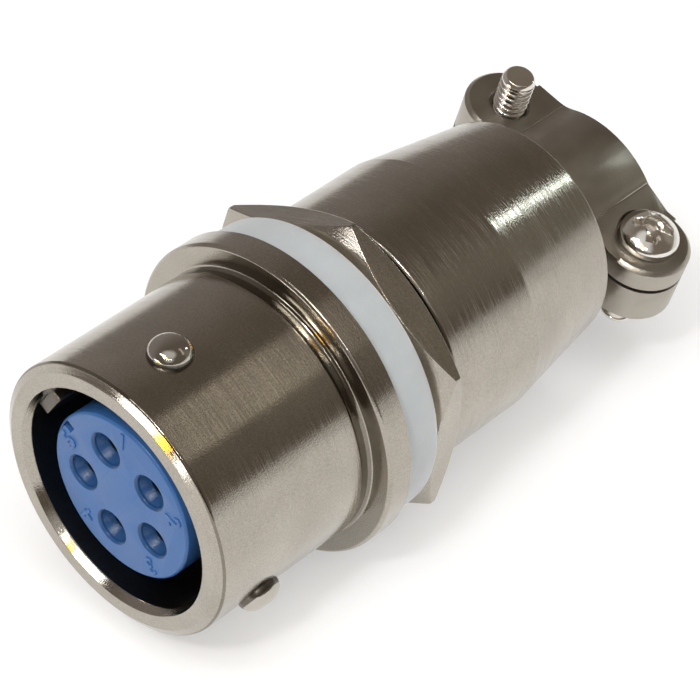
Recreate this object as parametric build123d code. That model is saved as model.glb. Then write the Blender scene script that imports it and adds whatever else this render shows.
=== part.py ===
from build123d import *
import math
import os

# A bayonet circular connector: a five-way panel receptacle with a jam nut, a screwed backshell
# and a two-part cable clamp. Millimetres. +X runs along the connector from the mating rim
# towards the cable, +Z is up, and the origin is on the axis at the flange's rear face,
# where the panel sits. Clocking angles are turned about +X, from +Z towards -Y.

# Insulators and the threaded ring that holds them
insert_setback = 0.9
insert_diameter = 12.2
insert_bevel = 0.15
insert_flange_width = 1.6
insert_flange_thickness = 3.0
rear_insulator_thickness = 5.0
insulator_clearance = 0.05
seal_thickness = 0.8
index_notch_size = 0.7
index_notch_depth = 0.6
index_notch_inset = 0.55
ring_thickness = 2.5
ring_width = 1.7
ring_slot_width = 1.4
ring_slot_depth = 1.0

# Receptacle shell, turned from one bar
mating_gap = 1.9
barrel_wall = 2.0
barrel_length = 12.7
rim_bevel_width = 0.65
rim_bevel_length = 0.4
mouth_chamfer_width = 0.35
mouth_chamfer_length = 0.6
relief_width = 1.0
relief_depth = 0.18
flange_lip = 0.5
flange_thickness = 2.0
flange_bevel = 0.2
tail_wall = 1.3
tail_length = 13.4
tail_chamfer = 0.5
cavity_depth = 9.0
web_thickness = 1.5
web_clearance = 0.2

# Master key on the barrel's inner wall, and the rib that clocks the insulators
key_angle = -54.5
key_width = 2.4
key_height = 0.9
key_setback = 0.8
rib_width = 1.2
rib_height = 0.6

# Bayonet studs, pressed into blind holes in the barrel
stud_count = 3
stud_setback = 4.95
stud_head_diameter = 3.05
stud_head_height = 1.05
stud_side_height = 0.45
stud_shank_diameter = 2.0
stud_shank_length = 1.5

# Socket contacts
contact_count = 5
contact_circle_diameter = 6.9
contact_sleeve_diameter = 2.3
contact_bore_diameter = 1.6
contact_bore_depth = 8.0
contact_setback = 1.9
contact_slit_width = 0.25
contact_slit_length = 5.0
contact_collar_width = 0.35
contact_collar_length = 1.2
contact_clearance = 0.06
cup_length = 5.0
cup_wall = 0.3
cup_bore_depth = 3.6
cup_opening_length = 2.9
cup_opening_floor = 0.3
lead_in_width = 0.53
lead_in_side = 0.3
lead_in_depth = 1.0

# Panel washer and jam nut
washer_width = 2.1
washer_thickness = 3.1
washer_bore_clearance = 0.15
face_gap = 0.02
nut_inset = 0.6
nut_thickness = 3.2
nut_chamfer_inset = 0.8
nut_chamfer_angle = 30.0
nut_angle = 9.4
thread_clearance = 0.04

# Backshell
nut_to_backshell = 0.2
backshell_thread_wall = 0.91
backshell_shoulder_length = 1.1
backshell_cone_length = 9.3
backshell_cone_drop = 1.4
backshell_wall = 1.1
backshell_end_wall = 1.6
tail_end_gap = 0.04
backshell_hole_clearance = 0.15
backshell_edge_chamfer = 0.15

# Cable clamp: two like castings, turned half a turn from each other about the axis
clamp_angle = 17.0
clamp_gap = 0.3
clamp_opening = 0.9
clamp_setback = 2.5
ear_spacing = 14.2
ear_radius = 3.32
ear_edge_break = 0.3
tapped_ear_height = 3.35
plain_ear_height = 1.95
screw_seat_margin = 0.15
cable_diameter = 6.4
neck_wall = 1.0
saddle_wall = 1.3
saddle_radius = 7.0
saddle_offset = 0.5
saddle_crease = 4.05
saddle_ramp = 2.15
saddle_fillet = 2.5
collar_thickness = 1.2
collar_overlap = 0.9
collar_side_gap = 0.1

# Clamp screws, M2.5 x 8 (made a little long) with a pan head and a cross recess
screw_diameter = 2.5
screw_length = 8.2
screw_tip_chamfer = 0.3
screw_head_width = 0.95
screw_head_height = 1.7
screw_head_side = 0.7
recess_width = 0.7
recess_length = 2.6
recess_depth = 1.0
screw_hole_clearance = 0.04
ear_hole_clearance = 0.2
ear_hole_chamfer = 0.3

# Stations along the axis, worked out from the sizes above
flange_front = -flange_thickness
relief_front = flange_front - relief_width
rim = relief_front - barrel_length
web_front = rim + cavity_depth
web_rear = web_front + web_thickness
insert_face = rim + insert_setback
flange_seat = web_rear + seal_thickness
insulator_joint = flange_seat + insert_flange_thickness
insulator_rear = insulator_joint + rear_insulator_thickness
contact_front = insert_face + contact_setback
plate_rear = contact_front - contact_clearance
washer_front = face_gap
nut_front = washer_front + washer_thickness + face_gap
nut_rear = nut_front + nut_thickness
backshell_front = nut_rear + nut_to_backshell
thread_end = tail_length + tail_end_gap
cone_front = thread_end + backshell_shoulder_length
backshell_rear = cone_front + backshell_cone_length
saddle_front = backshell_rear + clamp_setback
ear_station = saddle_front + ear_radius
saddle_rear = ear_station + ear_radius
collar_rear = backshell_rear - backshell_end_wall - collar_side_gap
collar_front = collar_rear - collar_thickness

# Radii used by more than one piece, from the insert outwards
insert_radius = insert_diameter / 2
barrel_bore_radius = insert_radius + mating_gap
barrel_radius = barrel_bore_radius + barrel_wall
tail_bore_radius = insert_radius + insert_flange_width
thread_radius = tail_bore_radius + tail_wall
threaded_bore_radius = thread_radius + thread_clearance
washer_radius = thread_radius + washer_width
flange_radius = washer_radius + flange_lip
nut_flat_radius = washer_radius - nut_inset
backshell_radius = threaded_bore_radius + backshell_thread_wall
backshell_end_radius = backshell_radius - backshell_cone_drop
cable_radius = cable_diameter / 2
neck_radius = cable_radius + neck_wall
saddle_height = cable_radius + saddle_wall
backshell_hole_radius = neck_radius + clamp_opening + backshell_hole_clearance
collar_radius = backshell_hole_radius + collar_overlap
screw_radius = screw_diameter / 2
screw_head_radius = screw_radius + screw_head_width
sleeve_radius = contact_sleeve_diameter / 2
contact_hole_radius = sleeve_radius + contact_clearance
pin_hole_radius = contact_bore_diameter / 2
contact_collar_radius = sleeve_radius + contact_collar_width
contact_angles = [key_angle + 360 / contact_count * (i + 0.5) for i in range(contact_count)]
stud_angles = [key_angle + 360 / stud_count * (i + 0.5) for i in range(stud_count)]


def turned(points):
    """A solid turned about the X axis from a closed outline of (x, radius) points."""
    outline = Polyline([(x, 0, radius) for x, radius in points], close=True)
    return revolve(make_face(outline), Axis.X)


def rod(start, end, radius, inner=0.0):
    """A plain rod, or a tube, along the X axis from one station to another."""
    return turned([(start, inner), (end, inner), (end, radius), (start, radius)])


def block(x_range, y_range, z_range):
    """A box given by its limits along X, Y and Z."""
    size = [high - low for low, high in (x_range, y_range, z_range)]
    middle = [(high + low) / 2 for low, high in (x_range, y_range, z_range)]
    return Pos(*middle) * Box(*size)


def clocked(solid, angle):
    """The solid turned about the connector's axis, from +Z towards -Y."""
    return Rot(angle, 0, 0) * solid


def receptacle_shell():
    """Barrel, relief groove, panel flange, threaded tail and the web that stops the insert."""
    barrel = barrel_radius
    bore = barrel_bore_radius
    flange = flange_radius
    groove = barrel - relief_depth
    body = turned([
        (rim, bore + mouth_chamfer_width),
        (rim, barrel - rim_bevel_width),
        (rim + rim_bevel_length, barrel),
        (relief_front, barrel),
        (relief_front + relief_depth, groove),
        (flange_front - relief_depth, groove),
        (flange_front, barrel),
        (flange_front, flange - flange_bevel),
        (flange_front + flange_bevel, flange),
        (0, flange),
        (0, thread_radius),
        (tail_length - tail_chamfer, thread_radius),
        (tail_length, thread_radius - tail_chamfer),
        (tail_length, tail_bore_radius),
        (web_rear, tail_bore_radius),
        (web_rear, insert_radius + web_clearance),
        (web_front, insert_radius + web_clearance),
        (web_front, bore),
        (rim + mouth_chamfer_length, bore),
    ])
    half_key = key_width / 2
    key = block((rim + key_setback, web_front + web_thickness / 2), (-half_key, half_key),
                (bore - key_height, bore + mouth_chamfer_width))
    half_rib = rib_width / 2
    rib = block((web_rear - web_thickness / 2, insulator_rear), (-half_rib, half_rib),
                (tail_bore_radius - rib_height, tail_bore_radius + rib_height / 2))
    body = body + clocked(key, key_angle) + clocked(rib, key_angle)
    for angle in stud_angles:
        body = body - placed_stud(stud_shank(), angle)
    return body


def stud_shank():
    """The pressed shank, along +Z from its foot below z = 0 up into the stud's head."""
    length = stud_shank_length + stud_head_height / 2
    foot = Pos(0, 0, -stud_shank_length)
    return foot * Cylinder(stud_shank_diameter / 2, length, align=(Align.CENTER, Align.CENTER, Align.MIN))


def placed_stud(solid, angle):
    """A stud's solid, its seat at z = 0, put on the barrel at its angle."""
    seat = math.sqrt(barrel_radius ** 2 - (stud_head_diameter / 2) ** 2)
    return clocked(Pos(rim + stud_setback, 0, seat) * solid, angle)


def bayonet_stud(angle):
    """Domed stud: a short straight side, a spherical crown and a shank, seated on the barrel."""
    radius = stud_head_diameter / 2
    saddle_drop = barrel_radius - math.sqrt(barrel_radius ** 2 - radius ** 2)
    crown_foot = saddle_drop + stud_side_height
    head = revolve(make_face(domed_outline(radius, crown_foot, saddle_drop + stud_head_height)), Axis.Z)
    barrel = rod(rim, flange_front, barrel_radius)
    return placed_stud(head, angle) - barrel + placed_stud(stud_shank(), angle)


def domed_outline(radius, side, top):
    """Half outline of a domed head on the XZ plane: flat foot, straight side, spherical crown."""
    rise = top - side
    sphere = (radius ** 2 + rise ** 2) / (2 * rise)
    middle = sphere * math.sin(math.asin(radius / sphere) / 2)
    middle_height = top - sphere + math.sqrt(sphere ** 2 - middle ** 2)
    return [
        Line((0, 0, 0), (radius, 0, 0)),
        Line((radius, 0, 0), (radius, 0, side)),
        ThreePointArc((radius, 0, side), (middle, 0, middle_height), (0, 0, top)),
        Line((0, 0, top), (0, 0, 0)),
    ]


def on_contact(solid, angle):
    """A solid made on the X axis, moved out to a contact's place on the circle."""
    return clocked(Pos(0, 0, contact_circle_diameter / 2) * solid, angle)


def insert_face_plate():
    """Front disc of the insert, bonded on: five funnels guide the plug's pins into the contacts."""
    body = turned([
        (insert_face, 0), (insert_face, insert_radius - insert_bevel),
        (insert_face + insert_bevel, insert_radius), (plate_rear, insert_radius), (plate_rear, 0),
    ])
    lead_in_radius = pin_hole_radius + lead_in_width
    lead_in = turned([
        (insert_face - insert_bevel, 0), (insert_face - insert_bevel, lead_in_radius + insert_bevel),
        (insert_face + insert_bevel, lead_in_radius - insert_bevel),
        (insert_face + lead_in_side, lead_in_radius - insert_bevel),
        (insert_face + lead_in_depth, pin_hole_radius), (insert_face + lead_in_depth, 0),
    ])
    pin_hole = rod(insert_face, plate_rear, pin_hole_radius)
    for angle in contact_angles:
        body = body - on_contact(lead_in, angle) - on_contact(pin_hole, angle)
    half_notch = index_notch_size / 2
    notch_centre = insert_radius - index_notch_inset
    notch = block((insert_face - index_notch_depth, insert_face + index_notch_depth),
                  (-half_notch, half_notch), (notch_centre - half_notch, notch_centre + half_notch))
    return body - clocked(notch, key_angle)


def front_insulator():
    """Moulded body of the insert: a boss inside the barrel and a flange behind the web."""
    flange = tail_bore_radius - insulator_clearance
    body = turned([
        (plate_rear, 0), (plate_rear, insert_radius), (flange_seat, insert_radius),
        (flange_seat, flange), (insulator_joint, flange), (insulator_joint, 0),
    ])
    for angle in contact_angles:
        body = body - on_contact(rod(plate_rear, insulator_joint, contact_hole_radius), angle)
    return body - rib_slot(flange_seat, insulator_joint)


def rib_slot(start, end):
    """The slot that slides over the shell's clocking rib."""
    half = rib_width / 2 + insulator_clearance
    slot = block((start, end), (-half, half),
                 (tail_bore_radius - rib_height - insulator_clearance, tail_bore_radius + rib_height))
    return clocked(slot, key_angle)


def rear_insulator():
    """Rear disc: it traps each contact's collar in a counterbore against the front insulator."""
    outer = tail_bore_radius - insulator_clearance
    body = rod(insulator_joint, insulator_rear, outer)
    collar_depth = contact_collar_length + contact_clearance
    for angle in contact_angles:
        body = body - on_contact(rod(insulator_joint, insulator_rear, contact_hole_radius), angle)
        collar = rod(insulator_joint, insulator_joint + collar_depth,
                     contact_collar_radius + contact_clearance)
        body = body - on_contact(collar, angle)
    return body - rib_slot(insulator_joint, insulator_rear)


def insert_seal():
    """Rubber ring between the web and the front insulator's flange."""
    outer = tail_bore_radius - insulator_clearance
    ring = rod(web_rear, flange_seat, outer, insert_radius + insulator_clearance)
    return ring - rib_slot(web_rear, flange_seat)


def retaining_ring():
    """Threaded ring screwed into the tail against the rear insulator, with two spanner slots."""
    ring = rod(insulator_rear, insulator_rear + ring_thickness, tail_bore_radius - insulator_clearance,
               tail_bore_radius - ring_width)
    half = ring_slot_width / 2
    rear = insulator_rear + ring_thickness
    slot = block((rear - ring_slot_depth, rear), (-half, half), (-thread_radius, thread_radius))
    return ring - clocked(slot, key_angle + 90)


def socket_contact(angle):
    """Machined socket: slit sleeve in front, trapped collar, and a solder cup behind."""
    sleeve = sleeve_radius
    end = insulator_rear + cup_length
    body = rod(contact_front, end, sleeve)
    body = body + rod(insulator_joint, insulator_joint + contact_collar_length, contact_collar_radius)
    body = body - rod(contact_front, contact_front + contact_bore_depth, contact_bore_diameter / 2)
    body = body - rod(end - cup_bore_depth, end, sleeve - cup_wall)
    half = contact_slit_width / 2
    slit = block((contact_front, contact_front + contact_slit_length), (-half, half), (-sleeve, sleeve))
    cup_opening = block((end - cup_opening_length, end), (-sleeve, sleeve), (cup_opening_floor, sleeve))
    return on_contact(body - slit - cup_opening, angle)


def panel_washer():
    """Thick nylon washer behind the flange."""
    return rod(washer_front, washer_front + washer_thickness, washer_radius,
               thread_radius + washer_bore_clearance)


def hex_nut():
    """Thin hexagon jam nut, chamfered on both faces, threaded on the shell's tail."""
    corner = nut_flat_radius / math.cos(math.pi / 6)
    prism = extrude(Plane.YZ * RegularPolygon(corner, 6, rotation=90), nut_thickness)
    chamfer_circle = nut_flat_radius - nut_chamfer_inset
    slope = math.tan(math.radians(nut_chamfer_angle))
    reach = (corner - chamfer_circle) * slope
    envelope = turned([
        (0, 0), (0, chamfer_circle), (reach, corner), (nut_thickness - reach, corner),
        (nut_thickness, chamfer_circle), (nut_thickness, 0),
    ])
    bore = rod(0, nut_thickness, threaded_bore_radius)
    countersink = turned([
        (0, 0), (0, threaded_bore_radius + tail_chamfer), (tail_chamfer, threaded_bore_radius),
        (nut_thickness - tail_chamfer, threaded_bore_radius),
        (nut_thickness, threaded_bore_radius + tail_chamfer), (nut_thickness, 0),
    ])
    return clocked(Pos(nut_front, 0, 0) * ((prism & envelope) - bore - countersink), nut_angle)


def backshell():
    """Turned tail cover: a cylinder that screws onto the tail, then a cone with an end wall."""
    outer = backshell_radius
    end = backshell_end_radius
    edge = backshell_edge_chamfer
    inner_front = outer - backshell_wall - edge
    return turned([
        (backshell_front, threaded_bore_radius + edge),
        (backshell_front, outer - edge),
        (backshell_front + edge, outer),
        (cone_front, outer),
        (backshell_rear - edge, end),
        (backshell_rear, end - edge),
        (backshell_rear, backshell_hole_radius),
        (backshell_rear - backshell_end_wall, backshell_hole_radius),
        (backshell_rear - backshell_end_wall, end - backshell_wall),
        (cone_front, inner_front),
        (thread_end, inner_front),
        (thread_end, threaded_bore_radius),
        (backshell_front + edge, threaded_bore_radius),
    ])


def saddle_section():
    """The clamp half's outline seen along the axis: two ears of unlike height and a hump."""
    floor = clamp_gap / 2
    end = ear_spacing / 2 + ear_radius
    centre = saddle_height - saddle_radius
    tapped_edge = -saddle_offset - math.sqrt(saddle_radius ** 2 - (tapped_ear_height - centre) ** 2)
    crease_height = centre + math.sqrt(saddle_radius ** 2 - (saddle_crease + saddle_offset) ** 2)
    outline = [
        Line((-end, floor), (-end, tapped_ear_height)),
        Line((-end, tapped_ear_height), (tapped_edge, tapped_ear_height)),
        ThreePointArc((tapped_edge, tapped_ear_height), (-saddle_offset, saddle_height),
                      (saddle_crease, crease_height)),
        Line((saddle_crease, crease_height), (saddle_crease + saddle_ramp, plain_ear_height)),
        Line((saddle_crease + saddle_ramp, plain_ear_height), (end, plain_ear_height)),
        Line((end, plain_ear_height), (end, floor)),
        Line((end, floor), (-end, floor)),
    ]
    section = make_face(outline)
    foot = section.vertices().sort_by_distance((tapped_edge, tapped_ear_height, 0))[0]
    return fillet(foot, saddle_fillet)


def ear_rim_cutter(side, height):
    """Ring that breaks the outer top edge of an ear, turned about the ear's screw axis."""
    low, high = ear_radius - 2 * ear_edge_break, ear_radius + ear_edge_break
    corner = Polyline([
        (low, 0, height + ear_edge_break), (high, 0, height - 2 * ear_edge_break),
        (high, 0, height + ear_edge_break),
    ], close=True)
    ring = Pos(ear_station, side * ear_spacing / 2, 0) * revolve(make_face(corner), Axis.Z)
    outer = sorted((side * ear_spacing / 2, side * ear_spacing))
    return ring & block((saddle_front - ear_radius, saddle_rear + ear_radius), outer, (0, ear_spacing))


def clamp_half(angle):
    """Cast half: saddle strap with a tapped and a plain ear, half a neck and half a collar."""
    section_plane = Plane(origin=(saddle_front, 0, 0), x_dir=(0, -1, 0), z_dir=(-1, 0, 0))
    strap = extrude(section_plane * saddle_section(), -2 * ear_radius)
    plan_plane = Plane(origin=(ear_station, 0, 0), x_dir=(0, 1, 0), z_dir=(0, 0, 1))
    strap = strap & extrude(plan_plane * SlotCenterToCenter(ear_spacing, 2 * ear_radius), saddle_height)
    strap = strap - ear_rim_cutter(1, tapped_ear_height) - ear_rim_cutter(-1, plain_ear_height)
    upper_side = block((collar_front, saddle_rear), (-ear_spacing, ear_spacing), (clamp_gap / 2, ear_spacing))
    neck = rod(collar_front, saddle_front + ear_radius / 2, neck_radius)
    collar = rod(collar_front, collar_rear, collar_radius)
    bore = rod(collar_front, saddle_rear, cable_radius)
    half = strap + ((neck + collar) & upper_side) - bore
    offset = ear_spacing / 2
    tapped_radius = screw_radius + screw_hole_clearance
    tapped = Pos(ear_station, offset, 0) * Cylinder(tapped_radius, 2 * saddle_height)
    mouth = Pos(ear_station, offset, tapped_ear_height) * Cone(
        tapped_radius, tapped_radius + ear_hole_chamfer, ear_hole_chamfer,
        align=(Align.CENTER, Align.CENTER, Align.MAX))
    plain = Pos(ear_station, -offset, 0) * Cylinder(screw_radius + ear_hole_clearance, 2 * saddle_height)
    seat = Pos(ear_station, -offset, plain_ear_height) * Cylinder(
        screw_head_radius + screw_seat_margin, saddle_height, align=(Align.CENTER, Align.CENTER, Align.MIN))
    return clocked(half - tapped - mouth - plain - seat, angle)


def clamp_screw():
    """Pan-head screw standing on z = 0 with its head up and its shank down."""
    head_outline = domed_outline(screw_head_radius, screw_head_side, screw_head_height)
    head = revolve(make_face(head_outline), Axis.Z)
    shank = Cylinder(screw_radius, screw_length, align=(Align.CENTER, Align.CENTER, Align.MAX))
    shank = chamfer(shank.edges().sort_by(Axis.Z)[0], screw_tip_chamfer)
    screw = head + shank
    half = recess_width / 2
    reach = recess_length / 2
    floor = screw_head_height - recess_depth
    for turn in (0, 90):
        screw = screw - Rot(0, 0, turn) * block((-reach, reach), (-half, half), (floor, screw_head_height))
    return screw


def placed_screw(angle):
    """A clamp screw with its head on the plain ear of the clamp half at this angle."""
    seat = plain_ear_height + face_gap
    return clocked(Pos(ear_station, -ear_spacing / 2, seat) * clamp_screw(), angle)


def main():
    os.makedirs("parts", exist_ok=True)
    nodes = {
        "receptacle_shell": receptacle_shell(),
        "insert_face_plate": insert_face_plate(),
        "front_insulator": front_insulator(),
        "rear_insulator": rear_insulator(),
        "insert_seal": insert_seal(),
        "retaining_ring": retaining_ring(),
        "panel_washer": panel_washer(),
        "hex_nut": hex_nut(),
        "backshell": backshell(),
        "upper_clamp_half": clamp_half(clamp_angle),
        "lower_clamp_half": clamp_half(clamp_angle + 180),
        "right_clamp_screw": placed_screw(clamp_angle),
        "left_clamp_screw": placed_screw(clamp_angle + 180),
    }
    for number, angle in enumerate(stud_angles, 1):
        nodes[f"bayonet_stud_{number}"] = bayonet_stud(angle)
    for number, angle in enumerate(contact_angles, 1):
        nodes[f"socket_contact_{number}"] = socket_contact(angle)
    for name, solid in nodes.items():
        export_step(solid, f"parts/{name}.step")


main()
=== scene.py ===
import math

import bmesh
import bpy
import numpy as np
from mathutils import Matrix, Vector


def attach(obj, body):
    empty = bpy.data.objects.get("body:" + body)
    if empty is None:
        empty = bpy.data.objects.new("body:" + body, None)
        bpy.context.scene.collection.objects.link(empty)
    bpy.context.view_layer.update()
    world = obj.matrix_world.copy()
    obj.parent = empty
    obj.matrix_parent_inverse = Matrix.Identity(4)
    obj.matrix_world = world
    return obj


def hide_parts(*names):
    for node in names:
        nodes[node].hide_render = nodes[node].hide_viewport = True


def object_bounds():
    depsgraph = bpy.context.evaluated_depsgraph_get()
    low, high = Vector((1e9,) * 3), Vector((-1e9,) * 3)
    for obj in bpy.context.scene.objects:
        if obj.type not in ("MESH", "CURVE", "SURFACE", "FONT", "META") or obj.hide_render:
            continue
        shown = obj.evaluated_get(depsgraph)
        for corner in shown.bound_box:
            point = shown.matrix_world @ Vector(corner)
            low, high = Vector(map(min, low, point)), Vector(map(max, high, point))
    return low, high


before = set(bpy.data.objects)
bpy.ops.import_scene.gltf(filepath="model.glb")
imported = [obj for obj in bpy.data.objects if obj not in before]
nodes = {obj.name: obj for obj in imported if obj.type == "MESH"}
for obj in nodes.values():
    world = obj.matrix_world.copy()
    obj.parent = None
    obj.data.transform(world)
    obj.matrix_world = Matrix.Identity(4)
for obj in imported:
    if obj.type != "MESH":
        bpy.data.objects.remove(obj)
cad_box = [list(map(float, corner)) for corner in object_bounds()]

# Receptacle shell: the barrel, panel flange and threaded tail are turned from one brass bar and
# nickel plated, so its skin is one profile carried round the connector's axis, with the lathe's
# fine lines running round it. The tail's thread is cut into the same skin.
MM = 0.001
RIM, RELIEF, FLANGE, SEAT, TAIL = -15.7, -3.0, -2.0, 0.0, 13.4
BARREL, BORE, FLANGE_RADIUS, THREAD, TAIL_BORE = 10.0, 8.0, 11.598, 9.0, 7.7
WEB_FRONT, WEB_REAR, WEB_BORE = -6.7, -5.2, 6.3
RIM_BEVEL, RIM_BEVEL_LENGTH = 0.65, 0.4
MOUTH_BEVEL, MOUTH_BEVEL_LENGTH = 0.35, 0.6
GROOVE_DEPTH, FLANGE_BEVEL, TAIL_BEVEL = 0.18, 0.2, 0.5
THREAD_FROM, THREAD_TO, THREAD_ROWS = 0.2, TAIL - 0.7, 200
PITCH, THREAD_DEPTH, ROOT_DEPTH = 1.0, 0.5, 0.24


def eased(corners, reach, steps=5):
    """Rounds the corners of a closed outline. Each corner C gives way to the curve
    (1-s)^2 A + 2s(1-s) C + s^2 B, where A and B lie a short reach from C along its two sides,
    and one more point beyond A and beyond B keeps the long sides flat."""
    before = np.roll(corners, 1, axis=0) - corners
    after = np.roll(corners, -1, axis=0) - corners
    long_before = np.linalg.norm(before, axis=-1, keepdims=True)
    long_after = np.linalg.norm(after, axis=-1, keepdims=True)
    reach = np.asarray(reach, float).reshape(-1, 1, 1)
    near = corners + before / long_before * np.minimum(reach, 0.3 * long_before)
    far = corners + after / long_after * np.minimum(reach, 0.3 * long_after)
    s = np.linspace(0, 1, steps)[None, :, None, None]
    curve = ((1 - s) ** 2 * near[:, None] + 2 * s * (1 - s) * corners[:, None]
             + s ** 2 * far[:, None])
    lead = corners + 1.4 * (near - corners)
    tail = corners + 1.4 * (far - corners)
    rounded = np.concatenate([lead[:, None], curve, tail[:, None]], axis=1)
    return rounded.reshape(-1, *corners.shape[1:])


def grid_skin(name, points, closed, body):
    """Makes a piece from a grid of points in millimetres, rows by columns. The columns always join
    up round the piece. The rows join up too when the outline is closed, and otherwise the first
    and last row have shrunk to one point each."""
    rows, columns = points.shape[:2]
    index = np.arange(rows * columns).reshape(rows, columns)
    if closed:
        upper, lower = index, np.roll(index, -1, axis=0)
    else:
        index = index - (columns - 1)
        index[0, :] = 0
        index[-1, :] = index[-2, -1] + 1
        upper, lower = index[:-1], index[1:]
    beside = np.roll(np.arange(columns), -1)
    quads = np.stack([upper, lower, lower[:, beside], upper[:, beside]], axis=-1)
    if closed:
        vertices, faces = points.reshape(-1, 3), quads.reshape(-1, 4).tolist()
    else:
        vertices = np.concatenate([points[0, :1], points[1:-1].reshape(-1, 3), points[-1, :1]])
        faces = (quads[0][:, [0, 1, 2]].tolist() + quads[1:-1].reshape(-1, 4).tolist()
                 + quads[-1][:, [0, 1, 3]].tolist())
    mesh = bpy.data.meshes.new(name)
    mesh.from_pydata((vertices * MM).tolist(), [], faces)
    shape = bmesh.new()
    shape.from_mesh(mesh)
    bmesh.ops.recalc_face_normals(shape, faces=shape.faces)
    shape.to_mesh(mesh)
    shape.free()
    mesh.polygons.foreach_set("use_smooth", np.ones(len(mesh.polygons), bool))
    piece = bpy.data.objects.new(name, mesh)
    bpy.context.scene.collection.objects.link(piece)
    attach(piece, body)
    return piece


def turned(x, r, around):
    """Points carried round the X axis: x and r are rows by columns, around is each column's angle
    in radians from +Z towards -Y."""
    x, r, around = np.broadcast_arrays(x, r, around)
    return np.stack([x, -r * np.sin(around), r * np.cos(around)], axis=-1)


def thread_groove(along, turns, pitch, depth):
    """How deep a 60 degree V thread cuts in: along/pitch minus the turn gives the place across one
    tooth, from 0 to 1, and the groove is a flattened triangle wave of it."""
    place = (along / pitch - turns) % 1.0
    return depth * np.clip(1.25 - np.abs(place - 0.5) * 3.1, 0, 1)


def new_finish(name, metallic):
    """An empty finish: its node tree, its shader and the Object coordinates it is laid out on."""
    finish = bpy.data.materials.new(name)
    finish.use_nodes = True
    tree = finish.node_tree
    shader = tree.nodes["Principled BSDF"]
    shader.inputs["Metallic"].default_value = metallic
    return finish, tree, shader, tree.nodes.new("ShaderNodeTexCoord").outputs["Object"]


def mottle(tree, place, scale, detail):
    """Uneven patches, 0 to 1: a noise of a given scale, in patches to the metre."""
    noise = tree.nodes.new("ShaderNodeTexNoise")
    noise.inputs["Scale"].default_value = scale
    noise.inputs["Detail"].default_value = detail
    tree.links.new(place, noise.inputs["Vector"])
    return noise.outputs["Fac"]


def uneven_polish(tree, shader, share, smooth, rough):
    """Roughness that changes with a share, from smooth at its low end to rough at its high end."""
    polish = tree.nodes.new("ShaderNodeMapRange")
    polish.inputs["To Min"].default_value = smooth
    polish.inputs["To Max"].default_value = rough
    tree.links.new(share, polish.inputs["Value"])
    tree.links.new(polish.outputs["Result"], shader.inputs["Roughness"])
    return polish


def uneven_tone(tree, shader, share, colour, dark, light):
    """Base colour that changes with a share, from dark to light times the given colour."""
    tone = tree.nodes.new("ShaderNodeMix")
    tone.data_type = "RGBA"
    tone.inputs["A"].default_value = (*[c * dark for c in colour], 1)
    tone.inputs["B"].default_value = (*[min(1.0, c * light) for c in colour], 1)
    tree.links.new(share, tone.inputs["Factor"])
    tree.links.new(tone.outputs["Result"], shader.inputs["Base Color"])


def relief(tree, shader, share, height):
    """Fine relief of a given height in millimetres, on top of any that the shader already has."""
    bump = tree.nodes.new("ShaderNodeBump")
    bump.inputs["Distance"].default_value = height * MM
    tree.links.new(share, bump.inputs["Height"])
    if shader.inputs["Normal"].is_linked:
        tree.links.new(shader.inputs["Normal"].links[0].from_socket, bump.inputs["Normal"])
    tree.links.new(bump.outputs["Normal"], shader.inputs["Normal"])


def turned_finish(name, colour, roughness, unlike, line_height, grain_height):
    """Plated metal as the lathe left it: lines that run round the X axis, some rougher and some
    smoother by a given factor, a faint grain, and slow changes of tone."""
    finish, tree, shader, place = new_finish(name, 1.0)
    lines = tree.nodes.new("ShaderNodeMapping")
    lines.inputs["Scale"].default_value = (16000, 260, 260)
    tree.links.new(place, lines.inputs["Vector"])
    cut = mottle(tree, lines.outputs["Vector"], 1.0, 3.0)
    grain = mottle(tree, place, 9000.0, 2.0)
    sharper = tree.nodes.new("ShaderNodeMath")
    sharper.operation = "MULTIPLY_ADD"
    sharper.inputs[1].default_value = 1.6
    sharper.inputs[2].default_value = -0.3
    tree.links.new(grain, sharper.inputs[0])
    blend = tree.nodes.new("ShaderNodeMix")
    blend.inputs["Factor"].default_value = 0.5
    tree.links.new(mottle(tree, place, 260.0, 4.0), blend.inputs["A"])
    tree.links.new(sharper.outputs["Value"], blend.inputs["B"])
    uneven_tone(tree, shader, blend.outputs["Result"], colour, 0.62, 1.38)
    polish = uneven_polish(tree, shader, cut, roughness / unlike, roughness * unlike)
    polish.inputs["From Min"].default_value = 0.35
    polish.inputs["From Max"].default_value = 0.68
    relief(tree, shader, cut, line_height)
    relief(tree, shader, grain, grain_height)
    return finish


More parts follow.
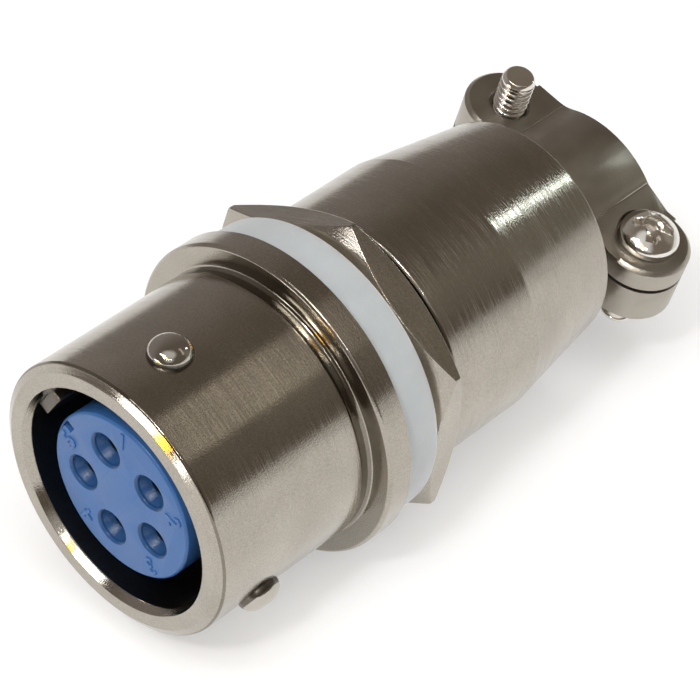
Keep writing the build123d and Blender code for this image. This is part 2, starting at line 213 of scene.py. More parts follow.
shell_nickel = turned_finish("shell_nickel", (0.395, 0.366, 0.318), 0.13, 1.9, 0.0035, 0.0055)
# painted shade: a dull finish much darker than the plating, standing for the shade inside the
# barrel
bore_painted_shade = turned_finish("bore_painted_shade", (0.15, 0.137, 0.118), 0.30, 1.05, 0.0005, 0.002)
# painted shade: a shiny finish painted dark for the shade in the groove between barrel and flange
groove_painted_shade = turned_finish("groove_painted_shade", (0.215, 0.195, 0.162), 0.09, 1.3, 0.002, 0.004)
shell_corners = np.array([
    (RIM, BORE + MOUTH_BEVEL, 0.05), (RIM, BARREL - RIM_BEVEL, 0.06),
    (RIM + RIM_BEVEL_LENGTH, BARREL, 0.12), (RELIEF, BARREL, 0.05),
    (RELIEF + 0.25, BARREL - GROOVE_DEPTH, 0.2), (FLANGE - 0.22, BARREL - GROOVE_DEPTH, 0.2),
    (FLANGE, BARREL + 0.05, 0.08), (FLANGE, FLANGE_RADIUS - FLANGE_BEVEL, 0.06),
    (FLANGE + FLANGE_BEVEL, FLANGE_RADIUS, 0.08), (SEAT, FLANGE_RADIUS, 0.06),
    (SEAT, THREAD, 0.05), (TAIL - TAIL_BEVEL, THREAD, 0.05), (TAIL, THREAD - TAIL_BEVEL, 0.05),
    (TAIL, TAIL_BORE, 0.05), (WEB_REAR, TAIL_BORE, 0.05), (WEB_REAR, WEB_BORE, 0.05),
    (WEB_FRONT, WEB_BORE, 0.05), (WEB_FRONT, BORE, 0.05), (RIM + MOUTH_BEVEL_LENGTH, BORE, 0.08),
])
shell_outline = eased(shell_corners[:, None, :2], shell_corners[:, 2])[:, 0]
# the thread's rows go in where the tail begins, in place of one row of the plain outline
on_tail = (shell_outline[:, 0] > 0.02) & (np.abs(shell_outline[:, 1] - THREAD) < 1e-6)
thread_start = int(np.argmax(on_tail)) + 1
thread_rows = np.stack([np.linspace(THREAD_FROM, THREAD_TO, THREAD_ROWS),
                        np.full(THREAD_ROWS, THREAD)], axis=1)
shell_outline = np.concatenate([shell_outline[:thread_start], thread_rows,
                                shell_outline[thread_start + 1:]])
row = np.arange(len(shell_outline))
is_thread = (row >= thread_start) & (row < thread_start + THREAD_ROWS)
shell_turn = np.linspace(0, 2 * np.pi, 192, endpoint=False)
shell_x, shell_plain_r = shell_outline[:, :1], shell_outline[:, 1:]
# the thread runs in and out over half a turn at each end
thread_fade = np.clip(np.minimum(shell_x - THREAD_FROM, THREAD_TO - shell_x) / 0.5, 0, 1)
thread_cut = thread_fade * is_thread[:, None] * thread_groove(
    shell_x, shell_turn / (2 * np.pi), PITCH, THREAD_DEPTH)
shell = grid_skin("shell_skin", turned(shell_x, shell_plain_r - thread_cut, shell_turn),
                  True, "receptacle")
shell.data.materials.append(shell_nickel)
shell.data.materials.append(bore_painted_shade)
shell.data.materials.append(groove_painted_shade)
# the barrel's bore and the thread's roots are dull and painted dark as shade, and the relief groove
# is shiny but painted dark as the shade in it
bore_shade_faces = (shell_plain_r < BORE + 0.02) & (shell_x > RIM + MOUTH_BEVEL_LENGTH + 0.02) & (
    shell_x < WEB_REAR)
groove_shade_faces = (np.abs(shell_plain_r - BARREL + GROOVE_DEPTH) < 0.16) & (shell_x < SEAT)
root_shade_faces = thread_cut > ROOT_DEPTH
shell.data.polygons.foreach_set(
    "material_index", ((bore_shade_faces | root_shade_faces) + 2 * groove_shade_faces).astype(np.int32).ravel())
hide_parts("receptacle_shell")

# Master key and clocking rib: two bars left standing on the shell's inner walls. The key guides
# the plug into the barrel, and the rib behind the web keeps the insulators from turning.
KEY_ANGLE = -54.5
bars = [
    ("master_key", RIM + 0.8, WEB_FRONT + 0.4, 2.4, BORE - 0.9, BORE + 0.15, 0.12),
    ("clocking_rib", WEB_REAR - 0.4, 3.6, 1.2, TAIL_BORE - 0.6, TAIL_BORE + 0.15, 0.08),
]
for bar_name, bar_front, bar_rear, bar_width, bar_foot, bar_top, bar_edge in bars:
    half_width = bar_width / 2
    outline = np.array([(-half_width, bar_foot), (half_width, bar_foot),
                        (half_width, bar_top), (-half_width, bar_top)])
    outline = eased(outline[:, None], np.full(4, bar_edge))[:, 0]
    centre = outline.mean(axis=0)
    # rows along the bar: each is the outline drawn towards its centre by a share of its size
    stations = np.array([bar_front, bar_front, bar_front, bar_front + bar_edge * 0.3,
                         bar_front + bar_edge, bar_rear - bar_edge, bar_rear, bar_rear, bar_rear])
    size = np.array([0, 0.5, 1 - bar_edge / half_width, 1 - bar_edge / half_width * 0.3, 1, 1,
                     1 - bar_edge / half_width, 0.5, 0])
    section = centre + size[:, None, None] * (outline - centre)
    lean = math.radians(KEY_ANGLE)
    side, up = section[..., 0], section[..., 1]
    bar_points = np.stack([np.broadcast_to(stations[:, None], side.shape),
                           -side * math.cos(lean) - up * math.sin(lean),
                           -side * math.sin(lean) + up * math.cos(lean)], axis=-1)
    bar = grid_skin(bar_name, bar_points, False, "receptacle")
    # the bars take the bore's dull finish, painted dark as shade
    bar.data.materials.append(bore_painted_shade)

# Bayonet studs: three domed steel pins, nickel plated and pressed into blind holes in the barrel,
# a third of a turn apart. A plug's coupling ring rides up on them in its spiral slots.
STUD_X, STUD_RADIUS, STUD_TOP, STUD_FOOT = RIM + 4.95, 1.525, 11.05, 9.95
STUD_NECK, STUD_END, STUD_FULLNESS = 9.5, 8.6, 0.9


def polished_finish(name, colour, roughness, grain_height):
    """Bright plating with no lathe lines: a faint orange-peel grain and slow changes of polish."""
    finish, tree, shader, place = new_finish(name, 1.0)
    wash = mottle(tree, place, 420.0, 5.0)
    uneven_tone(tree, shader, wash, colour, 0.78, 1.20)
    uneven_polish(tree, shader, wash, roughness * 0.7, roughness * 1.3)
    relief(tree, shader, mottle(tree, place, 5200.0, 3.0), grain_height)
    return finish


stud_nickel = polished_finish("stud_nickel", (0.48, 0.455, 0.41), 0.10, 0.006)
# one smooth dome: an oval a little fuller than an ellipse, from the top down to the barrel
stud_part = np.linspace(0, math.pi / 2, 28)
stud_r = STUD_RADIUS * np.sin(stud_part) ** STUD_FULLNESS
stud_h = STUD_FOOT + (STUD_TOP - STUD_FOOT) * np.cos(stud_part) ** STUD_FULLNESS
stud_r = np.concatenate([stud_r, np.array([0, -0.5, -STUD_RADIUS]) + STUD_RADIUS])
stud_h = np.concatenate([stud_h, [STUD_NECK, STUD_END, STUD_END]])
stud_turn = np.linspace(0, 2 * np.pi, 64, endpoint=False)
for number in (1, 2, 3):
    lean = math.radians(KEY_ANGLE + 120 * (number - 0.5))
    across = stud_r[:, None] * np.sin(stud_turn)
    height = np.broadcast_to(stud_h[:, None], across.shape)
    stud_points = np.stack([STUD_X + stud_r[:, None] * np.cos(stud_turn),
                            -height * math.sin(lean) - across * math.cos(lean),
                            height * math.cos(lean) - across * math.sin(lean)], axis=-1)
    stud = grid_skin(f"stud_skin_{number}", stud_points, False, "receptacle")
    stud.data.materials.append(stud_nickel)
    stud.data.materials.append(bore_painted_shade)
    # the dome's foot, where it meets the barrel, takes the bore's dull finish, painted dark as
    # shade
    foot_shade_faces = (stud_h[:-1] < STUD_FOOT + 0.4).astype(np.int32)
    stud.data.polygons.foreach_set("material_index", np.repeat(foot_shade_faces, len(stud_turn)))
    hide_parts(f"bayonet_stud_{number}")

# Front insulator: a blue moulding that carries the contacts, held by its flange behind the shell's
# web. It reaches into the barrel and ends in a bonded plate with a funnel for each pin, an index
# notch and small raised numbers.
INSERT_FACE, FUNNEL_TOP, FUNNEL_FOOT, FACE_FIELD = -14.8, -14.75, -13.85, 5.4
NUMBER_SIZE, NUMBER_RELIEF, NUMBER_EDGE, NUMBER_RING, NUMBER_TURN = 1.75, 0.05, 0.055, 5.0, 25


def eased_copy(node, name, width, body):
    """A moulded or cast piece from its CAD solid: the triangles are merged, flat faces are joined
    up, and every sharp edge gets the small round that the mould or die leaves."""
    mesh = nodes[node].data.copy()
    mesh.name = name
    mesh.materials.clear()
    shape = bmesh.new()
    shape.from_mesh(mesh)
    bmesh.ops.remove_doubles(shape, verts=shape.verts, dist=1e-7)
    bmesh.ops.dissolve_limit(shape, angle_limit=math.radians(0.6), verts=shape.verts,
                             edges=shape.edges)
    bmesh.ops.recalc_face_normals(shape, faces=shape.faces)
    shape.to_mesh(mesh)
    shape.free()
    if mesh.has_custom_normals:
        mesh.normals_split_custom_set([(0, 0, 0)] * len(mesh.loops))
    mesh.polygons.foreach_set("use_smooth", np.ones(len(mesh.polygons), bool))
    piece = bpy.data.objects.new(name, mesh)
    bpy.context.scene.collection.objects.link(piece)
    ease = piece.modifiers.new("edges", "BEVEL")
    ease.width = width * MM
    ease.segments = 3
    ease.limit_method = "ANGLE"
    ease.angle_limit = math.radians(24)
    ease.harden_normals = True
    ease.miter_outer = "MITER_ARC"
    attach(piece, body)
    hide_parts(node)
    return piece


def moulded_finish(name, colour, roughness):
    """Moulded plastic: an even colour with a slight mottle, a soft sheen and a fine mould grain."""
    finish, tree, shader, place = new_finish(name, 0.0)
    shader.inputs["Specular IOR Level"].default_value = 0.4
    cloud = mottle(tree, place, 500.0, 4.0)
    uneven_tone(tree, shader, cloud, colour, 0.90, 1.08)
    uneven_polish(tree, shader, cloud, roughness * 0.8, roughness * 1.2)
    relief(tree, shader, mottle(tree, place, 7000.0, 2.0), 0.012)
    return finish


insulator_blue = moulded_finish("insulator_blue", (0.034, 0.112, 0.305), 0.30)
# painted shade: the funnels' walls are a darker blue than the face, and all behind them near black,
# for the shade in the holes
funnel_painted_shade = moulded_finish("funnel_painted_shade", (0.015, 0.058, 0.165), 0.28)
hole_painted_shadow = moulded_finish("hole_painted_shadow", (0.006, 0.010, 0.020), 0.45)
for node, name in (("insert_face_plate", "insert_front"), ("front_insulator", "insert_body")):
    moulding = eased_copy(node, name, 0.07, "receptacle")
    moulding.data.materials.append(insulator_blue)
    moulding.data.materials.append(funnel_painted_shade)
    moulding.data.materials.append(hole_painted_shadow)
    # inside the face, the funnels' walls, a little glossier, are 1 and painted a darker blue as
    # shade, and all behind them is 2, painted near black as the shadow in the holes
    middles = np.empty(len(moulding.data.polygons) * 3, np.float32)
    moulding.data.polygons.foreach_get("center", middles)
    middles = middles.reshape(-1, 3) / MM
    inside = np.hypot(middles[:, 1], middles[:, 2]) < FACE_FIELD
    shades = inside * ((middles[:, 0] > FUNNEL_TOP).astype(np.int32)
                       + (middles[:, 0] > FUNNEL_FOOT))
    moulding.data.polygons.foreach_set("material_index", shades.astype(np.int32))
for number in range(1, 6):
    around = math.radians(KEY_ANGLE + 72 * (number - 0.5) + NUMBER_TURN)
    figure = bpy.data.curves.new(f"contact_number_{number}", "FONT")
    figure.body = str(number)
    figure.size = NUMBER_SIZE * MM
    figure.extrude = NUMBER_RELIEF * MM
    figure.bevel_depth = NUMBER_EDGE * MM
    figure.bevel_resolution = 2
    figure.align_x, figure.align_y = "CENTER", "CENTER"
    writing = bpy.data.objects.new("writing", figure)
    bpy.context.scene.collection.objects.link(writing)
    bpy.context.view_layer.update()
    digit = bpy.data.meshes.new_from_object(
        writing.evaluated_get(bpy.context.evaluated_depsgraph_get()))
    bpy.data.objects.remove(writing)
    flat = np.empty(len(digit.vertices) * 3, np.float32)
    digit.vertices.foreach_get("co", flat)
    flat = flat.reshape(-1, 3)
    # the figure's foot points at the axis: x on the page runs round the insert, y runs outwards
    out = flat[:, 1] + NUMBER_RING * MM
    on_face = np.stack([INSERT_FACE * MM - flat[:, 2],
                        -flat[:, 0] * math.cos(around) - out * math.sin(around),
                        -flat[:, 0] * math.sin(around) + out * math.cos(around)], axis=1)
    digit.vertices.foreach_set("co", on_face.ravel())
    digit.name = f"contact_number_{number}"
    digit.materials.clear()
    digit.materials.append(insulator_blue)
    raised = bpy.data.objects.new(f"contact_number_{number}", digit)
    bpy.context.scene.collection.objects.link(raised)
    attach(raised, "receptacle")

# Behind the web: the second blue disc, a moulded rubber ring, and a turned and plated brass ring
# that screws into the tail and holds the whole stack. Their plain solids are shown as they are.
seal_rubber = moulded_finish("seal_rubber", (0.025, 0.025, 0.026), 0.65)
ring_nickel = polished_finish("ring_nickel", (0.42, 0.392, 0.343), 0.24, 0.008)
for node, finish in (("rear_insulator", insulator_blue), ("insert_seal", seal_rubber),
                     ("retaining_ring", ring_nickel)):
    nodes[node].data.materials.clear()
    nodes[node].data.materials.append(finish)

# Socket contacts: turned brass sockets with a gold flash, slit at the front so that they grip
# their pins, with a collar held between the insulators and a solder cup behind.
contact_gold = polished_finish("contact_gold", (0.80, 0.56, 0.22), 0.22, 0.004)
for number in range(1, 6):
    contact = nodes[f"socket_contact_{number}"]
    contact.data.materials.clear()
    contact.data.materials.append(contact_gold)

# Panel washer: a thick moulded nylon ring, milky and a little see-through at its edges, that the
# jam nut presses against the back of the panel.
WASHER_FRONT, WASHER_REAR, WASHER, WASHER_BORE = 0.02, 3.12, 11.1, 9.15
washer_nylon = moulded_finish("washer_nylon", (0.44, 0.47, 0.485), 0.34)
nylon = washer_nylon.node_tree.nodes["Principled BSDF"]
nylon.inputs["Subsurface Weight"].default_value = 1.0
nylon.inputs["Subsurface Radius"].default_value = (1.0, 1.0, 1.0)
nylon.inputs["Subsurface Scale"].default_value = 2.2 * MM
washer_corners = np.array([(WASHER_FRONT, WASHER_BORE), (WASHER_FRONT, WASHER),
                           (WASHER_REAR, WASHER), (WASHER_REAR, WASHER_BORE)])
washer_outline = eased(washer_corners[:, None], [0.1, 0.22, 0.16, 0.1])[:, 0]
washer = grid_skin("washer_skin", turned(washer_outline[:, :1], washer_outline[:, 1:], shell_turn),
                   True, "washer")
washer.data.materials.append(washer_nylon)
# the back face, in the nut's shade, is painted pale: a painted glow that stands for the light that
# comes through the ring
washer_back_painted_glow = moulded_finish("washer_back_painted_glow", (0.93, 0.91, 0.86), 0.5)
washer.data.materials.append(washer_back_painted_glow)
glow_faces = (washer_outline[:, 0] > WASHER_REAR - 0.12).astype(np.int32)
washer.data.polygons.foreach_set("material_index", np.repeat(glow_faces, len(shell_turn)))
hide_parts("panel_washer")

# Jam nut: a thin hexagon nut, milled from bar and chamfered on the lathe at 30 degrees on both
# faces, so that each flat ends in a shallow arch, and nickel plated.
NUT_FRONT, NUT_THICK, NUT_FLAT, NUT_CHAMFER, NUT_CUT = 3.14, 3.2, 10.5, 9.7, 30
NUT_BORE, NUT_LEAD_IN, NUT_ANGLE = 9.04, 0.5, 9.4
nut_nickel = turned_finish("nut_nickel", (0.40, 0.371, 0.323), 0.13, 1.5, 0.003, 0.006)
hexagon_turn = np.radians(np.arange(6) * 60)
hexagon = np.stack([np.sin(hexagon_turn), np.cos(hexagon_turn)], axis=1)
hexagon = hexagon * NUT_FLAT / math.cos(math.pi / 6)
rounded = eased(hexagon[:, None], np.full(6, 0.16))[:, 0]
# between its two rounded corners each flat has twenty more points, in even steps
flats = np.linspace(0, 1, 22)[None, 1:-1, None]
along_flat = (hexagon[:, None] + (np.roll(hexagon, -1, axis=0) - hexagon)[:, None]
              * (0.035 + 0.93 * flats)).reshape(-1, 2)
rim_points = np.concatenate([rounded, along_flat])
nut_turn = np.arctan2(rim_points[:, 0], rim_points[:, 1])
order = np.argsort(nut_turn)
nut_turn, nut_reach = nut_turn[order], np.hypot(*rim_points[order].T)
# the cone of the chamfer meets the flats lower the further out they lie
drop = (nut_reach - NUT_CHAMFER) * math.tan(math.radians(NUT_CUT))
nut_corners = np.stack([np.stack(np.broadcast_arrays(x, r, drop)[:2], axis=1) for x, r in (
    (NUT_LEAD_IN, NUT_BORE), (0, NUT_BORE + NUT_LEAD_IN), (0, NUT_CHAMFER), (drop, nut_reach),
    (NUT_THICK - drop, nut_reach), (NUT_THICK, NUT_CHAMFER), (NUT_THICK, NUT_BORE + NUT_LEAD_IN),
    (NUT_THICK - NUT_LEAD_IN, NUT_BORE))])
nut_outline = eased(nut_corners, [0.05, 0.05, 0.07, 0.07, 0.07, 0.07, 0.05, 0.05])
nut_points = turned(NUT_FRONT + nut_outline[..., 0], nut_outline[..., 1],
                    nut_turn + math.radians(NUT_ANGLE))
nut = grid_skin("nut_skin", nut_points, True, "nut")
nut.data.materials.append(nut_nickel)
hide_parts("hex_nut")

# Backshell: a turned brass cover, a cylinder that screws onto the tail and a cone that narrows to
# the cable end. It carries the clearest lathe lines, which draw the light out into a streak.
SHELL_FRONT, CONE_FRONT, SHELL_REAR = 6.54, 14.54, 23.84
COVER, COVER_END, COVER_HOLE, COVER_BORE, END_WALL = 9.95, 8.55, 5.25, 8.6, 1.6
cover_nickel = turned_finish("cover_nickel", (0.395, 0.366, 0.318), 0.135, 2.4, 0.0045, 0.0055)
cover_corners = np.array([
    (SHELL_FRONT, NUT_BORE + 0.25, 0.05), (SHELL_FRONT, COVER - 0.15, 0.05),
    (SHELL_FRONT + 0.15, COVER, 0.05), (CONE_FRONT, COVER, 0.06),
    (SHELL_REAR - 0.15, COVER_END, 0.06), (SHELL_REAR, COVER_END - 0.15, 0.05),
    (SHELL_REAR, COVER_HOLE, 0.08), (SHELL_REAR - END_WALL, COVER_HOLE, 0.05),
    (SHELL_REAR - END_WALL, COVER_END - 1.1, 0.05), (CONE_FRONT, COVER_BORE, 0.05),
    (TAIL + 0.04, COVER_BORE, 0.05), (TAIL + 0.04, NUT_BORE, 0.05),
    (SHELL_FRONT + 0.25, NUT_BORE, 0.05),
])
cover_outline = eased(cover_corners[:, None, :2], cover_corners[:, 2])[:, 0]
cover = grid_skin("backshell_skin", turned(cover_outline[:, :1], cover_outline[:, 1:], shell_turn),
                  True, "backshell")
cover.data.materials.append(cover_nickel)
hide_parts("backshell")

# Cable clamp: two like castings, nickel plated, that close round the cable's jacket. Each has a
# hump, a thick ear tapped for one screw and a thin ear with a seat for the other screw's head.
CLAMP_LEAN = math.radians(17)
CREASE_THIN, CREASE_THICK, CREASE_WIDTH, CREASE_DEPTH = 3.95, 4.6, 0.06, 0.05
clamp_nickel = polished_finish("clamp_nickel", (0.40, 0.371, 0.323), 0.34, 0.012)
casting, solder = clamp_nickel.node_tree, clamp_nickel.node_tree.links.new


def casting_math(operation, first, second=0.0):
    """One step of arithmetic on one or two values, each of which may be another step's result."""
    step = casting.nodes.new("ShaderNodeMath")
    step.operation = operation
    for socket, value in zip(step.inputs, (first, second)):
        if isinstance(value, (int, float)):
            socket.default_value = value
        else:
            solder(value, socket)
    return step.outputs["Value"]


# a fine crease runs along the foot of the hump on both sides, where the die's parts met: it is
# placed by how far a point lies across the strap, counted towards the thin ear
where = casting.nodes.new("ShaderNodeTexCoord")
upright = casting.nodes.new("ShaderNodeVectorRotate")
upright.rotation_type = "X_AXIS"
upright.inputs["Angle"].default_value = -CLAMP_LEAN
solder(where.outputs["Object"], upright.inputs["Vector"])
parts = casting.nodes.new("ShaderNodeSeparateXYZ")
solder(upright.outputs["Vector"], parts.inputs["Vector"])
which_half = casting_math("SIGN", parts.outputs["Z"])
across_strap = casting_math("MULTIPLY", parts.outputs["Y"], which_half)
from_thin = casting_math("ABSOLUTE", casting_math("ADD", across_strap, CREASE_THIN * MM))
from_thick = casting_math("ABSOLUTE", casting_math("SUBTRACT", across_strap, CREASE_THICK * MM))
nearest = casting_math("MINIMUM", from_thin, from_thick)
beside_crease = casting_math("MULTIPLY", nearest, 1 / (CREASE_WIDTH * MM))
relief(casting, casting.nodes["Principled BSDF"], casting_math("MINIMUM", beside_crease, 1.0),
       CREASE_DEPTH)
for node, body in (("upper_clamp_half", "clamp_upper"), ("lower_clamp_half", "clamp_lower")):
    half = eased_copy(node, node.replace("_half", "_casting"), 0.12, body)
    half.data.materials.append(clamp_nickel)

# Clamp screws: M2.5 pan heads with a cross recess, thread rolled right up to the head and a
# chamfered tip. The right one enters from above and the left one from below.
EAR_X, EAR_SIDE, SCREW_SEAT = 29.66, 7.1, 1.97
SCREW, HEAD, HEAD_SIDE, HEAD_TOP, SHANK, TIP = 1.25, 2.2, 0.7, 1.7, 8.2, 0.44
SCREW_PITCH, SCREW_DEPTH, CROWN_ROWS, SHANK_ROWS = 0.5, 0.3, 110, 190
WING_HALF, WING_REACH, HUB_REACH, RECESS_WALL, RECESS_TURN = 0.40, 1.5, 0.62, 0.13, 0.6
screw_nickel = polished_finish("screw_nickel", (0.80, 0.77, 0.72), 0.13, 0.006)
screw_turn = np.linspace(0, 2 * np.pi, 180, endpoint=False)
# the head is a cap of a ball on a short upright side
dome = (HEAD ** 2 + (HEAD_TOP - HEAD_SIDE) ** 2) / (2 * (HEAD_TOP - HEAD_SIDE))
crown = np.linspace(0, HEAD - 0.12, CROWN_ROWS)
head_r = np.concatenate([crown, np.array([-0.05, -0.01, 0, 0, -0.05, -0.12, SCREW - HEAD]) + HEAD])
head_z = np.concatenate([HEAD_TOP - dome + np.sqrt(dome ** 2 - crown ** 2),
                         [HEAD_SIDE - 0.01, HEAD_SIDE - 0.07, HEAD_SIDE - 0.15, 0.12, 0.03, 0, 0]])
shank_z = np.linspace(-0.05, -SHANK + TIP, SHANK_ROWS)
tip_r = np.array([1.235, 1.2, 1.06, 1.03, 0.99, 0.93, 0.8, 0.4, 0])
tip_z = np.array([0.36, 0.26, 0.06, 0.025, 0.006, 0, 0, 0, 0]) - SHANK
screw_r = np.concatenate([head_r, np.full(SHANK_ROWS, SCREW), tip_r])
screw_z = np.concatenate([head_z, shank_z, tip_z])
screw_row = np.arange(len(screw_r))
on_shank = (screw_row >= len(head_r)) & (screw_row < len(head_r) + SHANK_ROWS)
screw_fade = np.clip((-screw_z - 0.1) / 0.3, 0, 1) * on_shank
screw_radius = screw_r[:, None] - screw_fade[:, None] * thread_groove(
    screw_z[:, None], screw_turn / (2 * np.pi), SCREW_PITCH, SCREW_DEPTH)
# the cross recess: four wings 0.8 wide whose walls lean in, deepest where they meet
cross_x = np.abs(screw_radius * np.cos(screw_turn + RECESS_TURN))
cross_y = np.abs(screw_radius * np.sin(screw_turn + RECESS_TURN))
outwards = np.maximum(cross_x, cross_y)
in_wing = np.clip((WING_HALF - np.minimum(cross_x, cross_y)) / RECESS_WALL, 0, 1)
in_hub = np.clip((HUB_REACH - 0.5 * (cross_x + cross_y)) / RECESS_WALL, 0, 1)
wing_end = np.clip((WING_REACH - outwards) / 0.2, 0, 1)
on_crown = (screw_row < CROWN_ROWS)[:, None]
recess = on_crown * np.maximum(in_wing * wing_end, in_hub) * (1.1 - 0.42 * outwards)
screw_height = screw_z[:, None] - recess
for screw_name, body, node, lean in (
        ("right_screw_skin", "screw_right", "right_clamp_screw", CLAMP_LEAN),
        ("left_screw_skin", "screw_left", "left_clamp_screw", CLAMP_LEAN + math.pi)):
    side = EAR_SIDE + screw_radius * np.sin(screw_turn)
    height = SCREW_SEAT + screw_height
    screw_points = np.stack([EAR_X + screw_radius * np.cos(screw_turn),
                             -side * math.cos(lean) - height * math.sin(lean),
                             -side * math.sin(lean) + height * math.cos(lean)], axis=-1)
    screw = grid_skin(screw_name, screw_points, False, body)
    screw.data.materials.append(screw_nickel)
    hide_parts(node)

# Floor: a wide sheet of plain pale card that the connector lies on, touching it with the nut's
# lowest corner. It is the background of every view, and lights the metal from below.
FLOOR_REACH, FLOOR_GAP, WHITE_SHARE = 3, 0.00002, 0.40
floor_mesh = bpy.data.meshes.new("floor")
floor_z = cad_box[0][2] - FLOOR_GAP
floor_mesh.from_pydata([(x * FLOOR_REACH, y * FLOOR_REACH, floor_z)
                        for x, y in ((-1, -1), (1, -1), (1, 1), (-1, 1))], [], [(0, 1, 2, 3)])
floor = bpy.data.objects.new("floor", floor_mesh)
bpy.context.scene.collection.objects.link(floor)
card = bpy.data.materials.new("floor_card")
card.use_nodes = True
sheet, wire = card.node_tree, card.node_tree.links.new
paper = sheet.nodes["Principled BSDF"]
paper.inputs["Base Color"].default_value = (0.94, 0.94, 0.945, 1)
paper.inputs["Roughness"].default_value = 0.9
paper.inputs["Specular IOR Level"].default_value = 0.0
# a share of plain white, for the camera and for what the metal mirrors, thins the shadow
rays = sheet.nodes.new("ShaderNodeLightPath")
seen = rays.outputs["Is Camera Ray"]
for ray in ("Is Glossy Ray", "Is Transmission Ray"):
    either = sheet.nodes.new("ShaderNodeMath")
    either.operation = "ADD"
    wire(seen, either.inputs[0])
    wire(rays.outputs[ray], either.inputs[1])
    seen = either.outputs["Value"]
share = sheet.nodes.new("ShaderNodeMath")
share.operation = "MULTIPLY"
share.inputs[1].default_value = WHITE_SHARE
wire(seen, share.inputs[0])
thinned = sheet.nodes.new("ShaderNodeMixShader")
wire(share.outputs["Value"], thinned.inputs["Fac"])
wire(paper.outputs["BSDF"], thinned.inputs[1])
wire(sheet.nodes.new("ShaderNodeEmission").outputs["Emission"], thinned.inputs[2])
wire(thinned.outputs["Shader"], sheet.nodes["Material Output"].inputs["Surface"])
floor_mesh.materials.append(card)

# Room: pale up to about the horizon and dim above it, as in a small light tent, but paler again on
# the left, towards the cable end, at the zenith and behind the camera. Bright metal shows the edge
# between pale and dim along its length.
world = bpy.data.worlds.new("room")
bpy.context.scene.world = world
world.use_nodes = True
room, join = world.node_tree, world.node_tree.links.new
sky = room.nodes["Background"]
towards = room.nodes.new("ShaderNodeTexCoord")


def room_step(direction, low, high):
    """0 to 1 as the view swings from low to high along a direction."""
    along = room.nodes.new("ShaderNodeVectorMath")
    along.operation = "DOT_PRODUCT"
    join(towards.outputs["Generated"], along.inputs[0])
    along.inputs[1].default_value = direction
    ramp = room.nodes.new("ShaderNodeMapRange")
    ramp.interpolation_type = "SMOOTHSTEP"
    ramp.inputs["From Min"].default_value = low
    ramp.inputs["From Max"].default_value = high
    join(along.outputs["Value"], ramp.inputs["Value"])
    return ramp.outputs["Result"]


def room_mix(share, low, high):
    """One colour giving way to another; either may be a plain colour or another mix."""
    mix = room.nodes.new("ShaderNodeMix")
    mix.data_type = "RGBA"
    join(share, mix.inputs["Factor"])
    for socket, value in ((mix.inputs["A"], low), (mix.inputs["B"], high)):
        if isinstance(value, tuple):
            socket.default_value = value
        else:
            join(value, socket)
    return mix.outputs["Result"]


dim = room_mix(room_step((0, 1, 0), 0.15, 0.9), (0.175, 0.145, 0.117, 1), (0.33, 0.30, 0.28, 1))
lofty = room_mix(room_step((-0.25, -0.25, 0.935), 0.86, 0.97), dim, (0.75, 0.74, 0.72, 1))
front = room_mix(room_step((-0.563, -0.529, 0.636), 0.90, 0.99), lofty, (0.62, 0.61, 0.59, 1))
right = room_mix(room_step((0.76, -0.50, 0.42), 0.92, 0.995), front, (0.27, 0.245, 0.20, 1))
whole = room_mix(room_step((-0.20, 0.1065, 1.0), -0.14, -0.08), (0.80, 0.79, 0.77, 1), right)
join(whole, sky.inputs["Color"])
sky.inputs["Strength"].default_value = 1.0


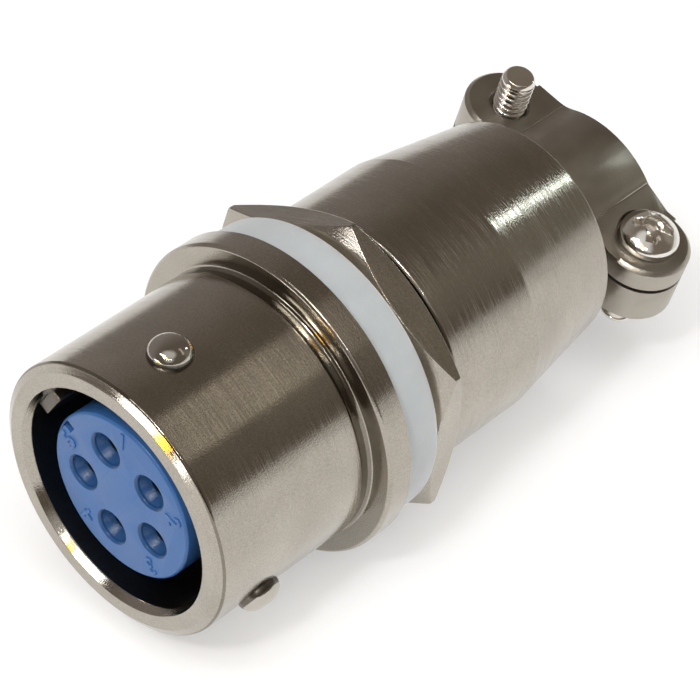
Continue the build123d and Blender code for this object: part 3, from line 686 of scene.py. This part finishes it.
# Lamps: one large soft lamp overhead that the metal doesn't mirror, and small softboxes whose
# mirrored shapes give the glow on the barrel, the streak on the cone and the sparkle on the
# bevels, studs and screws.
def lamp(name, azimuth, elevation, distance, along, size, power, colour, mirrored):
    """An area lamp in a direction given in degrees, turned to face the connector's middle, with its
    first side laid along a given direction."""
    light = bpy.data.lights.new(name, "AREA")
    light.shape = "RECTANGLE"
    light.size, light.size_y = size
    light.energy = power
    light.color = colour
    lit = bpy.data.objects.new(name, light)
    bpy.context.scene.collection.objects.link(lit)
    a, e = math.radians(azimuth), math.radians(elevation)
    way = Vector((math.cos(e) * math.cos(a), math.cos(e) * math.sin(a), math.sin(e)))
    side = Vector(along) - way * way.dot(along)
    side.normalize()
    lit.location = way * distance
    lit.rotation_euler = Matrix((side, way.cross(side), way)).transposed().to_euler()
    lit.visible_glossy = mirrored


lamp("overhead", -125, 66, 1.2, (1, 0, 0), (1.2, 1.2), 11.2, (1.0, 1.0, 1.0), False)
lamp("barrel_glow", -42, 52, 0.17, (0, 0.887, 0.462), (0.10, 0.022), 0.0036, (1.0, 0.93, 0.80),
     True)
lamp("cone_strip", -15.3, 30.1, 0.6, (0, 0.9, -0.4), (0.020, 0.050), 0.075, (0.88, 1.0, 1.0), True)
lamp("front_box", 163.5, 10, 0.6, (0, 1, 0), (0.19, 0.07), 0.35, (1.0, 1.0, 1.0), True)
lamp("front_low", -175, 1, 0.6, (0, 1, 0.5), (0.055, 0.035), 0.08, (1.0, 1.0, 1.0), True)
lamp("front_high", -163, 50, 0.6, (0, 1, 0), (0.08, 0.055), 1.1, (1.0, 1.0, 1.0), True)
lamp("front_top", 174, 59, 0.6, (0, 1, 0), (0.22, 0.035), 0.40, (1.0, 1.0, 1.0), True)
lamp("camera_left", -142, 41, 0.5, (0, 1, 0), (0.016, 0.016), 0.06, (1.0, 1.0, 1.0), True)
lamp("camera_right", -130, 41, 0.5, (0, 1, 0), (0.016, 0.016), 0.06, (1.0, 1.0, 1.0), True)
lamp("warm_low", 176.5, 7, 0.6, (0, 1, 0), (0.045, 0.04), 0.16, (1.0, 0.52, 0.02), True)
lamp("warm_high", -148, 48, 0.6, (0, 0.85, 0.52), (0.13, 0.016), 0.10, (1.0, 0.52, 0.03), True)

# Camera: at the photograph's viewing angle, above and to the front right of the connector, with
# the long lens that its mild perspective calls for.
view = bpy.data.cameras.new("camera")
view.sensor_width = 36.0
view.lens = 143.87
view.clip_start = 0.001
eye = bpy.data.objects.new("camera", view)
bpy.context.scene.collection.objects.link(eye)
eye.location = (-0.10054, -0.10062, 0.12037)
eye.rotation_euler = Vector((0.5625, 0.5285, -0.636)).to_track_quat("-Z", "Y").to_euler()
bpy.context.scene.camera = eye
bpy.context.scene.view_settings.view_transform = "Standard"
